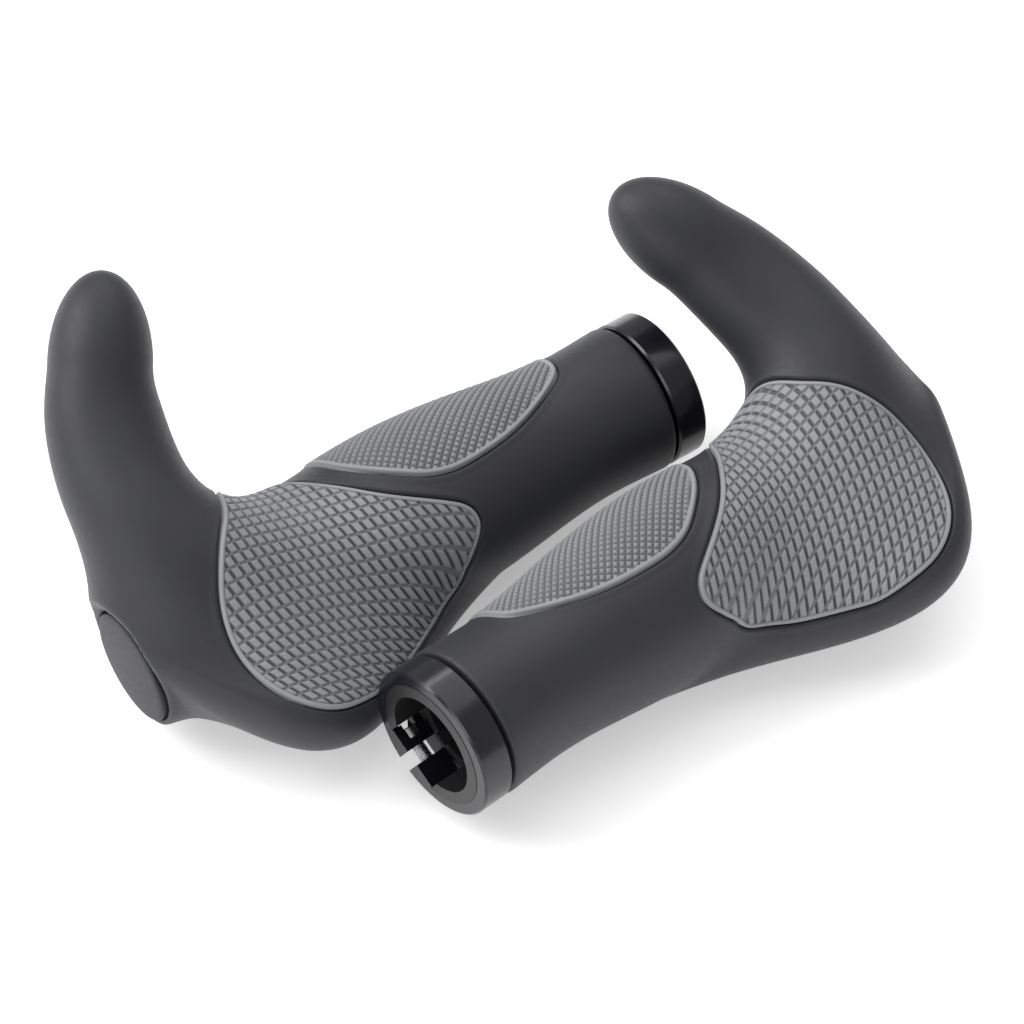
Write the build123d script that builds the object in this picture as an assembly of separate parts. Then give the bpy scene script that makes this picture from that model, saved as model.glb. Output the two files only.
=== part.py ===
from build123d import *
import math
import os

import numpy as np

os.makedirs("parts", exist_ok=True)

# A pair of ergonomic handlebar grips with built-in bar-end horns, lying palm side up on a bench.
# Each grip is drawn in its own grip frame (millimetres):
#   x along the handlebar from the clamp face (0) to the outer end, y forward (horn side), z up (palm pads).
# The right grip is placed as drawn; the left grip is its mirror image.

# ---------------- driving dimensions ----------------
BAR_R = 11.1                # a 22.2 mm handlebar
BORE_R = BAR_R + 0.03       # sleeve bore, a sliding fit on the bar
BORE_LEN = 126.0            # depth of the bore to the shoulder the bar end meets
SLEEVE_R = 13.2             # outside of the nylon sleeve under the rubber
NECK_R = 13.95              # sleeve neck that the clamp collar grips
NECK_LEN = 8.2              # neck length, clamp face to rubber lip
PLUG_BORE_R = 9.6           # smaller bore that holds the end plug's stem
SLEEVE_END = 133.2          # outer end of the sleeve

COLLAR_R = 16.8             # clamp collar outside radius
COLLAR_BORE_R = 14.0        # clamp collar bore
COLLAR_W = 7.3              # collar width
COLLAR_BEVEL = 0.45
SLOT_W = 3.35               # clamping slot, through the collar and the neck
SLOT_ANG = 34.0             # slot direction, degrees from straight down towards the front
LUG_HALF = 7.0              # half width of the collar's inner lug
LUG_FLOOR = 11.6            # radius of the lug's inner face

BOLT_X = 3.75               # bolt centre from the clamp face
BOLT_OFF = 13.6             # bolt centre line from the bar axis
BOLT_R = 1.5                # M3 thread
BOLT_HOLE_R = 1.56
HEAD_R = 2.2
HEAD_H = 2.4
HEAD_SEAT = 3.4             # head seat from the slot's middle
HEAD_GAP = 0.06             # running gap left under the head
BOLT_LEN = 11.0             # thread length under the head
THREAD_PITCH = 0.5

CAP_R = 12.4                # end plug disc
CAP_FACE = 137.1            # outer face of the disc
CAP_T = 3.3                 # disc thickness
PLUG_R = 9.5                # plug stem
PLUG_BACK = 126.4           # inner end of the stem
DISH_X = 134.6              # floor of the recess round the plug
DISH_R = 13.9

PAD_DEPTH = 1.6             # how far the pads are sunk into the rubber
PAD_PROUD = 0.35            # how far they stand above it

# tube (round section about the bar), along x
TUBE_X = [11.0, 25.0, 45.0, 70.0, 95.0, 120.0, 138.0]
TUBE_R = [16.84, 16.45, 18.56, 20.3, 18.45, 16.84, 15.54]
# palm wing edge (round edge centre and radius), along x
WING_X = [20.0, 45.0, 70.0, 95.0, 120.0, 140.0]
WING_Y = [2.85, -4.73, -14.21, -27.35, -27.52, -1.13]
WING_Z = [-7.68, -7.99, -7.3, -4.23, 3.38, 10.46]
WING_R = [10.41, 9.4, 8.62, 8.43, 8.23, 7.46]
# horn centre line and its two radii
HORN_PTS = [(109.82, -1.35, 2.85), (119.43, 7.73, 15.52), (121.56, 22.65, 23.78), (118.11, 36.75, 31.97), (113.6, 44.65, 37.91)]
HORN_A = [12.85, 13.89, 13.3, 12.26, 10.91]
HORN_B = [14.63, 14.16, 12.95, 11.17, 10.86]
HORN_TIP = 19.42            # length of the horn's domed tip
END_X, END_TY, END_TZ, END_K = 155.38, 0.06, -0.09, 40.06   # soft outer end
BLEND = 17.64               # blend between the body and the horn
LIP_X = 8.26                # inner end of the rubber

# palm pad outline seen from above (x, y)
PALM = [(106.3, 13.5), (109.5, 6.0), (113.3, 0.8), (117.3, -4.6), (120.3, -10.4), (121.9, -17.4), (120.7, -25.0), (117.5, -31.3), (113.0, -35.2), (108.0, -36.7), (102.4, -36.3), (95.3, -34.4), (89.0, -31.3), (78.5, -25.4), (72.8, -22.6), (67.5, -20.2), (63.5, -18.4), (61.2, -16.0), (61.7, -14.0), (64.5, -11.8), (71.5, -7.8), (78.0, -2.8), (83.0, 2.8), (87.0, 8.2), (90.0, 13.0), (93.5, 16.3), (98.0, 18.0), (103.0, 17.3)]
# finger pad outline: x and the angle round the bar from straight up, towards the front
FINGER = [(24.0, 34.0), (25.6, 16.0), (30.0, 4.0), (37.9, -9.0), (46.4, -16.8), (55.0, -20.0), (60.5, -19.8), (66.0, -15.5), (71.0, -6.5), (75.5, 4.5), (79.2, 18.0), (81.3, 36.0)]
FINGER_MID = 56.0           # middle of the finger pad, degrees

# where the two grips lie: clamp face centre, then yaw, pitch, roll in degrees
RIGHT_POS, RIGHT_ROT = (-16.39, -82.38, 22.3), (41.75, 1.15, -3.56)
LEFT_POS, LEFT_ROT = (32.67, 18.69, 22.01), (35.45, -0.88, 3.80)
ROW_SHIFT = (-0.45, 27.2, 0.0)


# ---------------- outer form as a distance field ----------------
def spline_coeffs(x, v, end_flat=False):
    """natural cubic spline second derivatives, with a flat end if asked"""
    x = np.array(x, float)
    v = np.array(v, float)
    n = len(x)
    h = np.diff(x)
    a = np.zeros((n, n))
    shape = (n,) + v.shape[1:]
    b = np.zeros(shape)
    a[0, 0] = 1.0
    a[-1, -1] = 1.0
    for i in range(1, n - 1):
        a[i, i - 1], a[i, i], a[i, i + 1] = h[i - 1], 2 * (h[i - 1] + h[i]), h[i]
        b[i] = 6 * ((v[i + 1] - v[i]) / h[i] - (v[i] - v[i - 1]) / h[i - 1])
    if end_flat:
        a[-1, -2], a[-1, -1] = h[-1], 2 * h[-1]
        b[-1] = 6 * (0.0 - (v[-1] - v[-2]) / h[-1])
    return x, v, np.linalg.solve(a, b)


def spline_eval(s, t, order=0):
    x, v, m = s
    t = np.asarray(t, float)
    i = np.clip(np.searchsorted(x, t) - 1, 0, len(x) - 2)
    h = x[i + 1] - x[i]
    a = (x[i + 1] - t) / h
    b = (t - x[i]) / h
    if v.ndim > 1:
        a, b, h = a[..., None], b[..., None], h[..., None]
    if order == 0:
        return a * v[i] + b * v[i + 1] + ((a**3 - a) * m[i] + (b**3 - b) * m[i + 1]) * h * h / 6
    if order == 1:
        return (v[i + 1] - v[i]) / h - (3 * a * a - 1) / 6 * h * m[i] + (3 * b * b - 1) / 6 * h * m[i + 1]
    return a * m[i] + b * m[i + 1]


S_TUBE = spline_coeffs(TUBE_X, TUBE_R)
S_WY = spline_coeffs(WING_X, WING_Y)
S_WZ = spline_coeffs(WING_X, WING_Z)
S_WR = spline_coeffs(WING_X, WING_R)
HORN_T = np.linspace(0, 1, 5)
S_HORN = spline_coeffs(HORN_T, HORN_PTS)
S_HA = spline_coeffs(HORN_T, HORN_A, True)
S_HB = spline_coeffs(HORN_T, HORN_B, True)
H_SAMPLES = np.linspace(0, 1, 25)
H_POINTS = spline_eval(S_HORN, H_SAMPLES)


def soft_min(a, b, k):
    h = np.maximum(k - np.abs(a - b), 0) / k
    return np.minimum(a, b) - h * h * k / 4


def body_field(p):
    x, y, z = p[:, 0], p[:, 1], p[:, 2]
    xc = np.clip(x, 6, END_X)
    r1 = spline_eval(S_TUBE, xc)
    xw = np.clip(xc, 12, 141)
    bx, bz, r2 = spline_eval(S_WY, xw), spline_eval(S_WZ, xw), spline_eval(S_WR, xw)
    h = np.sqrt(bx * bx + bz * bz) + 1e-6
    ux, uz = bx / h, bz / h
    py = y * ux + z * uz
    px = np.abs(-y * uz + z * ux)
    b = np.clip((r1 - r2) / h, -0.999, 0.999)
    a = np.sqrt(1 - b * b)
    k = -b * px + a * py
    d = np.where(k < 0, np.hypot(px, py) - r1, np.where(k > a * h, np.hypot(px, py - h) - r2, a * px + b * py - r1))
    return -soft_min(-d, -((x - END_X) - END_TY * y - END_TZ * z), END_K)


def horn_field(p):
    d2 = ((p[:, None, :] - H_POINTS[None]) ** 2).sum(-1)
    t = H_SAMPLES[d2.argmin(1)]
    for _ in range(3):
        c, c1, c2 = spline_eval(S_HORN, t), spline_eval(S_HORN, t, 1), spline_eval(S_HORN, t, 2)
        q = p - c
        g = (q * c1).sum(1)
        n1 = (c1 * c1).sum(1)
        h = np.maximum(n1 - (q * c2).sum(1), 0.35 * n1)
        t = np.clip(t + np.clip(g / h, -0.06, 0.06), 0, 1)
    c, c1 = spline_eval(S_HORN, t), spline_eval(S_HORN, t, 1)
    tt = c1 / np.linalg.norm(c1, axis=1, keepdims=True)
    e1 = np.array([1.0, 0, 0]) - tt[:, :1] * tt
    e1 /= np.linalg.norm(e1, axis=1, keepdims=True)
    e2 = np.cross(tt, e1)
    a, b = spline_eval(S_HA, t), spline_eval(S_HB, t)
    q = p - c
    q1, q2, q3 = (q * e1).sum(1), (q * e2).sum(1), (q * tt).sum(1)
    n = np.sqrt(q1 * q1 + q2 * q2 + q3 * q3) + 1e-9
    rho = np.sqrt((q1 / a) ** 2 + (q2 / b) ** 2 + (q3 / HORN_TIP) ** 2) + 1e-9
    return n - n / rho


def form(p):
    """signed distance to the rubber's outer surface, in the grip frame"""
    return soft_min(body_field(p), horn_field(p), BLEND)


# ---------------- section planes: along the bar, then fanned round the bay into the horn ----------------
HORN_DIR = np.array(HORN_PTS[4]) - np.array(HORN_PTS[1])
D2 = np.array([0.0, HORN_DIR[1], HORN_DIR[2]])
D2 /= np.linalg.norm(D2)
D3 = np.cross([1.0, 0, 0], D2)
PIVOT = np.array([91.0, 0, 0]) + 37.0 * D2
X1 = np.array([1.0, 0, 0])


def section_planes():
    planes = []
    for x in (LIP_X, 14, 22, 32, 43, 54, 65, 76, 85, 91):
        planes.append((np.array([x, 0.0, 0.0]), X1, -D2))
    for deg in (11, 22, 33, 44, 50, 55, 59, 62, 65, 69, 74, 80, 90):
        a = math.radians(deg)
        n = math.cos(a) * X1 + math.sin(a) * D2
        u = math.sin(a) * X1 - math.cos(a) * D2
        planes.append((PIVOT, n, u))
    # the last planes close up on the horn's domed tip
    end = spline_eval(S_HORN, np.array([1.0]))[0]
    t_end = spline_eval(S_HORN, np.array([1.0]), 1)[0]
    tip = end + HORN_TIP * t_end / np.linalg.norm(t_end)
    for share, tilt in ((0.24, 6), (0.44, 10), (0.60, 14), (0.74, 17), (0.85, 19), (0.92, 20)):
        a = math.radians(90 + tilt)
        n = math.cos(a) * X1 + math.sin(a) * D2
        u = math.sin(a) * X1 - math.cos(a) * D2
        reach = (tip - PIVOT) @ n / (D2 @ n)
        planes.append((PIVOT + share * reach * D2, n, u))
    return planes


N_PTS = 26
JOIN = 19                   # section where the body's loft ends and the horn's begins


def section_wire(origin, normal, u, level):
    """closed spline through the outer form where it meets one plane"""
    v = np.cross(normal, u)
    g1, g2 = np.meshgrid(np.arange(-60, 95, 2.0), np.arange(-60, 70, 2.0), indexing="ij")
    pts = origin + g1.ravel()[:, None] * u + g2.ravel()[:, None] * v
    f = form(pts)
    keep = (f < level - 0.5)
    if origin is PIVOT or abs(normal[0]) < 0.999:
        keep &= g1.ravel() > -2
    inside = pts[keep]
    centre = inside.mean(0)
    ang = np.linspace(0, 2 * np.pi, 240, endpoint=False)
    dirs = np.cos(ang)[:, None] * u + np.sin(ang)[:, None] * v
    lo = np.zeros(len(ang))
    hi = np.full(len(ang), np.nan)
    r = 0.0
    prev = form(centre + r * dirs) - level
    while r < 110 and np.isnan(hi).any():
        r += 0.8
        cur = form(centre + r * dirs) - level
        hit = np.isnan(hi) & (cur > 0)
        hi[hit] = r
        lo[hit] = r - 0.8
        prev = cur
    for _ in range(18):
        mid = (lo + hi) / 2
        cur = form(centre + mid[:, None] * dirs) - level
        hi = np.where(cur > 0, mid, hi)
        lo = np.where(cur > 0, lo, mid)
    ring = centre + hi[:, None] * dirs
    closed = np.vstack([ring, ring[:1]])
    arc = np.r_[0, np.cumsum(np.linalg.norm(np.diff(closed, axis=0), axis=1))]
    at = np.linspace(0, arc[-1], N_PTS, endpoint=False)
    pts = np.array([[np.interp(s, arc, closed[:, i]) for i in range(3)] for s in at])
    params = [i / N_PTS for i in range(N_PTS + 1)]
    edge = Edge.make_spline([Vector(*q) for q in pts], periodic=True, parameters=params)
    return Wire([edge]), centre


# ---------------- solids of one grip, in the grip frame ----------------
def tube_x(r, x0, x1):
    return extrude(Plane.YZ.offset(x0) * Circle(r), x1 - x0)


def outer_solid(level=0.0):
    wires = [section_wire(*pl, level)[0] for pl in section_planes()]
    body = Solid.make_loft(wires[:JOIN + 1], False)
    horn = Solid.make_loft(wires[JOIN:], False)
    return Part(body.fuse(horn).wrapped)


def revolve_x(points):
    """revolve an (x, r) outline about the bar axis"""
    face = make_face(Plane.XZ * Polyline(*[(x, r) for x, r in points], close=True))
    return revolve(face, Axis.X, 360)


SL = math.radians(SLOT_ANG)
U_S = Vector(0, math.sin(SL), -math.cos(SL))      # from the bar axis to the slot
M_S = Vector(0, math.cos(SL), math.sin(SL))       # along the clamp bolt, towards its head


def slot_block(x0, x1, s0, s1, r0, r1):
    """box between two x, two distances along the bolt and two distances out towards the slot"""
    pln = Plane(origin=(x0, 0, 0), x_dir=tuple(M_S), z_dir=(1, 0, 0))
    # the plane's y axis points along z_dir cross x_dir; find which way that is
    sign = 1 if (pln.y_dir - U_S).length < 1e-6 else -1
    cx, cy = (s0 + s1) / 2, sign * (r0 + r1) / 2
    return extrude(pln * Pos(cx, cy) * Rectangle(s1 - s0, r1 - r0), x1 - x0)


def bolt_cyl(r, s0, s1):
    o = Vector(BOLT_X, 0, 0) + U_S * BOLT_OFF + M_S * s0
    return extrude(Plane(origin=tuple(o), z_dir=tuple(M_S)) * Circle(r), s1 - s0)


def make_collar():
    b = COLLAR_BEVEL
    x0, x1 = 0.1, 0.1 + COLLAR_W
    ring = revolve_x([(x0, COLLAR_BORE_R), (x0, COLLAR_R - b), (x0 + b, COLLAR_R), (x1 - b, COLLAR_R), (x1, COLLAR_R - b), (x1, COLLAR_BORE_R)])
    lug = slot_block(x0, x1, -LUG_HALF, LUG_HALF, LUG_FLOOR, 14.6)
    c = ring + lug
    c -= slot_block(-1, 10, -SLOT_W / 2, SLOT_W / 2, 9, 20)
    c -= bolt_cyl(BOLT_HOLE_R, -12, 12)
    c -= bolt_cyl(HEAD_R + 0.3, HEAD_SEAT, 12)
    return c


def make_bolt():
    # head with a hex socket, then a ridged thread
    n = int(BOLT_LEN / THREAD_PITCH) - 1
    pts = [(0.0, 0.0), (1.1, 0.0)]
    z = 0.15
    for _ in range(n):
        pts += [(BOLT_R - 0.3, z), (BOLT_R, z + THREAD_PITCH * 0.45), (BOLT_R, z + THREAD_PITCH * 0.55)]
        z += THREAD_PITCH
    pts += [(BOLT_R - 0.3, z), (BOLT_R - 0.3, BOLT_LEN), (HEAD_R - 0.15, BOLT_LEN), (HEAD_R, BOLT_LEN + 0.15), (HEAD_R, BOLT_LEN + HEAD_H - 0.25), (HEAD_R - 0.25, BOLT_LEN + HEAD_H), (0.0, BOLT_LEN + HEAD_H)]
    prof = make_face(Plane.XZ * Polyline(*pts, close=True))
    bolt = revolve(prof, Axis.Z, 360)
    bolt -= Pos(0, 0, BOLT_LEN + HEAD_H - 1.3) * extrude(RegularPolygon(1.25, 6), 3)
    o = Vector(BOLT_X, 0, 0) + U_S * BOLT_OFF + M_S * (HEAD_SEAT + HEAD_GAP - BOLT_LEN)
    return Plane(origin=tuple(o), x_dir=(1, 0, 0), z_dir=tuple(M_S)).location * bolt


def horn_rod():
    wires = []
    ts = np.array([0.12, 0.3, 0.5, 0.7, 0.88, 1.0])
    c, d = spline_eval(S_HORN, ts), spline_eval(S_HORN, ts, 1)
    for q, t, r in zip(c, d, (8.2, 8.0, 7.4, 6.6, 5.6, 4.8)):
        wires.append(Wire([Edge.make_circle(r, Plane(origin=tuple(q), x_dir=(1, 0, 0) if abs(t[0]) < 0.9 * np.linalg.norm(t) else (0, 1, 0), z_dir=tuple(t)))]))
    return Part(Solid.make_loft(wires, False).wrapped)


def wing_plate():
    wires = []
    for x, w in ((66.0, 0.90), (78.0, 0.98), (90.0, 1.0), (102.0, 1.0), (114.0, 0.98), (122.0, 0.90)):
        by, bz = float(spline_eval(S_WY, x)), float(spline_eval(S_WZ, x))
        h = math.hypot(by, bz)
        uy, uz = by / h, bz / h
        a, b, t = 8.0, h * w, 1.7
        pts = [(x, uy * s - uz * k, uz * s + uy * k) for s, k in ((a, -t), (b, -t), (b, t), (a, t))]
        wires.append(Wire.make_polygon([Vector(*q) for q in pts], close=True))
    return Part(Solid.make_loft(wires, True).wrapped)


def core_outside():
    return tube_x(NECK_R, 0.0, NECK_LEN) + tube_x(SLEEVE_R, NECK_LEN, SLEEVE_END) + horn_rod() + wing_plate()


def make_core(outside):
    c = outside
    c -= tube_x(BORE_R, -1, BORE_LEN)
    c -= tube_x(PLUG_BORE_R, BORE_LEN - 1, SLEEVE_END + 30)
    c -= slot_block(-1, 14.0, -SLOT_W / 2, SLOT_W / 2, 9, 20)
    c -= slot_block(-1, NECK_LEN, -LUG_HALF - 0.15, LUG_HALF + 0.15, 8, 20)
    return c


def make_cap():
    x0, x1 = CAP_FACE - CAP_T, CAP_FACE
    disc = revolve_x([(x0, 0), (x0, CAP_R - 0.3), (x0 + 0.3, CAP_R), (x1 - 1.1, CAP_R), (x1 - 0.75, CAP_R - 0.12), (x1 - 0.5, CAP_R - 0.5), (x1 - 0.32, CAP_R - 1.6), (x1 - 0.12, CAP_R - 5.0), (x1, CAP_R - 9.5), (x1, 0)])
    stem = tube_x(PLUG_R, PLUG_BACK, x0 + 0.2) - tube_x(PLUG_R - 1.8, PLUG_BACK - 1, x0 - 0.8)
    return disc + stem


def dish():
    """everything that stands proud of the recess round the end plug"""
    return revolve_x([(DISH_X, 0), (DISH_X, DISH_R), (DISH_X + 22, DISH_R + 20), (DISH_X + 22, 0)])


def palm_prism():
    """upright prism of the palm outline, cut off below along the wing's own middle"""
    edge = Edge.make_spline([Vector(x, y, -9.0) for x, y in PALM], periodic=True)
    prism = extrude(Face(Wire([edge])), amount=60, dir=(0, 0, 1))
    tilt = Plane(origin=(60, 0, -8.0), x_dir=(1, 0, 0.165), z_dir=(-0.165, 0, 1))
    return prism - extrude(tilt * Rectangle(400, 400), -60)


def finger_prism():
    mid = math.radians(FINGER_MID)
    pts = []
    for x, deg in FINGER:
        r = float(spline_eval(S_TUBE, x))
        pts.append((x, r * math.sin(math.radians(deg - FINGER_MID))))
    mirrored = [(x, -s) for x, s in reversed(pts)]
    n = Vector(0, math.sin(mid), math.cos(mid))
    t = Vector(0, math.cos(mid), -math.sin(mid))
    loop = [Vector(x, 0, 0) + t * s + n * 3.0 for x, s in pts + mirrored]
    face = Face(Wire([Edge.make_spline(loop, periodic=True)]))
    return extrude(face, amount=40, dir=tuple(n))


def make_soft(outside):
    skin = outer_solid(0.0)
    floor = outer_solid(-PAD_DEPTH)
    proud = outer_solid(PAD_PROUD)
    shell = proud - floor
    palm = shell & palm_prism()
    finger = shell & finger_prism()
    cover = skin - dish() - tube_x(CAP_R + 0.35, SLEEVE_END - 0.5, 170)
    cover -= outside
    cover -= (palm_prism() - floor)
    cover -= (finger_prism() - floor)
    return cover, palm, finger


def biggest(part):
    """the one real solid, without slivers left by the cuts"""
    sol = sorted(part.solids(), key=lambda q: -q.volume)
    return Part(sol[0].wrapped)


def grip():
    outside = core_outside()
    cover, palm, finger = make_soft(outside)
    return {
        "clamp_collar": make_collar(),
        "clamp_bolt": make_bolt(),
        "grip_core": make_core(outside),
        "rubber_cover": biggest(cover),
        "palm_pad": biggest(palm),
        "finger_pad": biggest(finger),
        "end_plug": make_cap(),
    }


def place(shape, pos, rot, flip):
    if flip:
        shape = mirror(shape, about=Plane.YZ)
    yaw, pitch, roll = rot
    shape = shape.rotate(Axis.X, roll).rotate(Axis.Y, pitch).rotate(Axis.Z, yaw)
    return shape.translate(Vector(*pos) + Vector(*ROW_SHIFT))


PIECES = grip()
for side, pos, rot, flip in (("right", RIGHT_POS, RIGHT_ROT, False), ("left", LEFT_POS, LEFT_ROT, True)):
    for name, shape in PIECES.items():
        placed = place(shape, pos, rot, flip)
        export_step(placed, f"parts/{side}_{name}.step")
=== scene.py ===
import math

import bpy
import numpy as np
import openvdb
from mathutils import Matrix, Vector


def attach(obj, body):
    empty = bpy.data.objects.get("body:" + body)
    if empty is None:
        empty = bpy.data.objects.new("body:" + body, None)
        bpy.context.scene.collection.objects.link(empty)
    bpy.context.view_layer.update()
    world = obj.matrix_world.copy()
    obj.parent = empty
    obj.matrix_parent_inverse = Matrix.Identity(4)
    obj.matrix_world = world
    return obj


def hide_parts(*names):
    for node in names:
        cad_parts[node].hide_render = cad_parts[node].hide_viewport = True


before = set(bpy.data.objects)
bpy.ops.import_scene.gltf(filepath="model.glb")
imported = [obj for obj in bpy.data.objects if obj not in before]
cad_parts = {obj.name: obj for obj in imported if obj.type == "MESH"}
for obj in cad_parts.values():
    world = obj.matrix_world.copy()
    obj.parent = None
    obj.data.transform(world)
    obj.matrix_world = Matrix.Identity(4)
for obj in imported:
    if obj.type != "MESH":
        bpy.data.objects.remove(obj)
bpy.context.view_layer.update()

# ---------------------------------------------------------------------------
# The form of one grip, in its own frame: bar axis along x, clamp face at x = 0,
# z up, palm side towards -y. Millimetres until a mesh is placed.
# ---------------------------------------------------------------------------
TUBE_X = [11, 25, 45, 70, 95, 120, 138]
TUBE_R = [16.84, 16.45, 18.56, 20.3, 18.45, 16.84, 15.54]
WING_X = [20, 45, 70, 95, 120, 140]
WING_Y = [2.85, -4.73, -14.21, -27.35, -27.52, -1.13]
WING_Z = [-7.68, -7.99, -7.3, -4.23, 3.38, 10.46]
WING_R = [10.41, 9.4, 8.62, 8.43, 8.23, 7.46]
HORN_PTS = [(109.82, -1.35, 2.85), (119.43, 7.73, 15.52), (121.56, 22.65, 23.78), (118.11, 36.75, 31.97), (113.6, 44.65, 37.91)]
HORN_A = [12.85, 13.89, 13.3, 12.26, 10.91]
HORN_B = [14.63, 14.16, 12.95, 11.17, 10.86]
HORN_TIP = 19.42
END_X, END_TY, END_TZ, END_K = 155.38, 0.06, -0.09, 40.06
BLEND = 17.64
LIP_X = 8.26
DISH_X, DISH_R = 135.6, 12.9
SLEEVE_CUT = 13.25
PLUG_CUT, PLUG_FLOOR = 12.75, 132.7

PALM = [(105.9, 13.5), (108.8, 6.2), (112.6, 0.8), (116.8, -4.7), (120.3, -10.4), (121.9, -17.4), (120.7, -25.0), (117.5, -31.3), (113.0, -35.2), (108.0, -36.7), (102.4, -36.3), (95.3, -34.4), (89.0, -31.3), (78.5, -25.4), (72.87, -22.29), (67.56, -20.35), (64.72, -19.5), (62.4, -18.5), (60.3, -16.5), (61.1, -14.1), (64.5, -11.8), (71.5, -7.8), (78.0, -2.8), (83.0, 2.8), (87.0, 8.2), (90.0, 13.0), (93.5, 16.3), (98.0, 18.0), (103.0, 17.3)]
FINGER = [(24.0, 34.0), (25.6, 16.0), (30.0, 4.0), (37.9, -9.0), (46.4, -16.8), (55.0, -20.0), (60.5, -19.8), (66.0, -15.5), (71.0, -6.5), (75.5, 4.5), (79.2, 18.0), (81.3, 36.0)]
FINGER_MID = 56.0

ROW_SHIFT = np.array([-0.45, 27.2, 0.0])
PLACES = {
    "right": (np.array([-16.39, -82.38, 22.3]), (41.75, 1.15, -3.56), False),
    "left": (np.array([32.67, 18.69, 22.01]), (35.45, -0.88, 3.80), True),
}


def rotation(yaw, pitch, roll):
    a, b, c = np.radians([yaw, pitch, roll])
    rz = np.array([[np.cos(a), -np.sin(a), 0], [np.sin(a), np.cos(a), 0], [0, 0, 1]])
    ry = np.array([[np.cos(b), 0, np.sin(b)], [0, 1, 0], [-np.sin(b), 0, np.cos(b)]])
    rx = np.array([[1, 0, 0], [0, np.cos(c), -np.sin(c)], [0, np.sin(c), np.cos(c)]])
    return rz @ ry @ rx


def matrix_of(side):
    pos, rot, flip = PLACES[side]
    m = rotation(*rot)
    if flip:
        m = m @ np.diag([-1.0, 1.0, 1.0])
    return m, pos + ROW_SHIFT


# ---------------- splines ----------------
def spline_coeffs(x, v, end_flat=False):
    x = np.array(x, float)
    v = np.array(v, float)
    n = len(x)
    h = np.diff(x)
    a = np.zeros((n, n))
    b = np.zeros((n,) + v.shape[1:])
    a[0, 0] = 1.0
    a[-1, -1] = 1.0
    for i in range(1, n - 1):
        a[i, i - 1], a[i, i], a[i, i + 1] = h[i - 1], 2 * (h[i - 1] + h[i]), h[i]
        b[i] = 6 * ((v[i + 1] - v[i]) / h[i] - (v[i] - v[i - 1]) / h[i - 1])
    if end_flat:
        a[-1, -2], a[-1, -1] = h[-1], 2 * h[-1]
        b[-1] = 6 * (0.0 - (v[-1] - v[-2]) / h[-1])
    return x, v, np.linalg.solve(a, b)


def spline_eval(s, t, order=0):
    x, v, m = s
    t = np.asarray(t, float)
    i = np.clip(np.searchsorted(x, t) - 1, 0, len(x) - 2)
    h = x[i + 1] - x[i]
    a = (x[i + 1] - t) / h
    b = (t - x[i]) / h
    if v.ndim > 1:
        a, b, h = a[..., None], b[..., None], h[..., None]
    if order == 0:
        return a * v[i] + b * v[i + 1] + ((a**3 - a) * m[i] + (b**3 - b) * m[i + 1]) * h * h / 6
    if order == 1:
        return (v[i + 1] - v[i]) / h - (3 * a * a - 1) / 6 * h * m[i] + (3 * b * b - 1) / 6 * h * m[i + 1]
    return a * m[i] + b * m[i + 1]


def closed_curve(points, n):
    """smooth closed curve through the points, n samples evenly spaced"""
    p = np.array(points, float)
    k = len(p)
    ext = np.vstack([p[-4:], p, p[:4]])
    d = np.sqrt(np.linalg.norm(np.diff(ext, axis=0), axis=1))
    t = np.r_[0, np.cumsum(d)]
    s = spline_coeffs(t, ext)
    tt = np.linspace(t[4], t[4 + k], n * 8, endpoint=False)
    q = spline_eval(s, tt)
    c = np.vstack([q, q[:1]])
    arc = np.r_[0, np.cumsum(np.linalg.norm(np.diff(c, axis=0), axis=1))]
    at = np.linspace(0, arc[-1], n, endpoint=False)
    return np.stack([np.interp(at, arc, c[:, i]) for i in range(p.shape[1])], 1)


S_TUBE = spline_coeffs(TUBE_X, TUBE_R)
S_WY = spline_coeffs(WING_X, WING_Y)
S_WZ = spline_coeffs(WING_X, WING_Z)
S_WR = spline_coeffs(WING_X, WING_R)
S_HORN = spline_coeffs(np.linspace(0, 1, 5), HORN_PTS)
S_HA = spline_coeffs(np.linspace(0, 1, 5), HORN_A, True)
S_HB = spline_coeffs(np.linspace(0, 1, 5), HORN_B, True)
H_SAMPLES = np.linspace(0, 1, 25)
H_POINTS = spline_eval(S_HORN, H_SAMPLES)


def soft_min(a, b, k):
    h = np.maximum(k - np.abs(a - b), 0) / k
    return np.minimum(a, b) - h * h * k / 4


def soft_max(a, b, k):
    return -soft_min(-a, -b, k)


def body_field(p):
    x, y, z = p[:, 0], p[:, 1], p[:, 2]
    xc = np.clip(x, 6, END_X)
    r1 = spline_eval(S_TUBE, xc)
    xw = np.clip(xc, 12, 141)
    bx, bz, r2 = spline_eval(S_WY, xw), spline_eval(S_WZ, xw), spline_eval(S_WR, xw)
    h = np.sqrt(bx * bx + bz * bz) + 1e-6
    ux, uz = bx / h, bz / h
    py = y * ux + z * uz
    px = np.abs(-y * uz + z * ux)
    b = np.clip((r1 - r2) / h, -0.999, 0.999)
    a = np.sqrt(1 - b * b)
    k = -b * px + a * py
    d = np.where(k < 0, np.hypot(px, py) - r1, np.where(k > a * h, np.hypot(px, py - h) - r2, a * px + b * py - r1))
    return -soft_min(-d, -((x - END_X) - END_TY * y - END_TZ * z), END_K)


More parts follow.
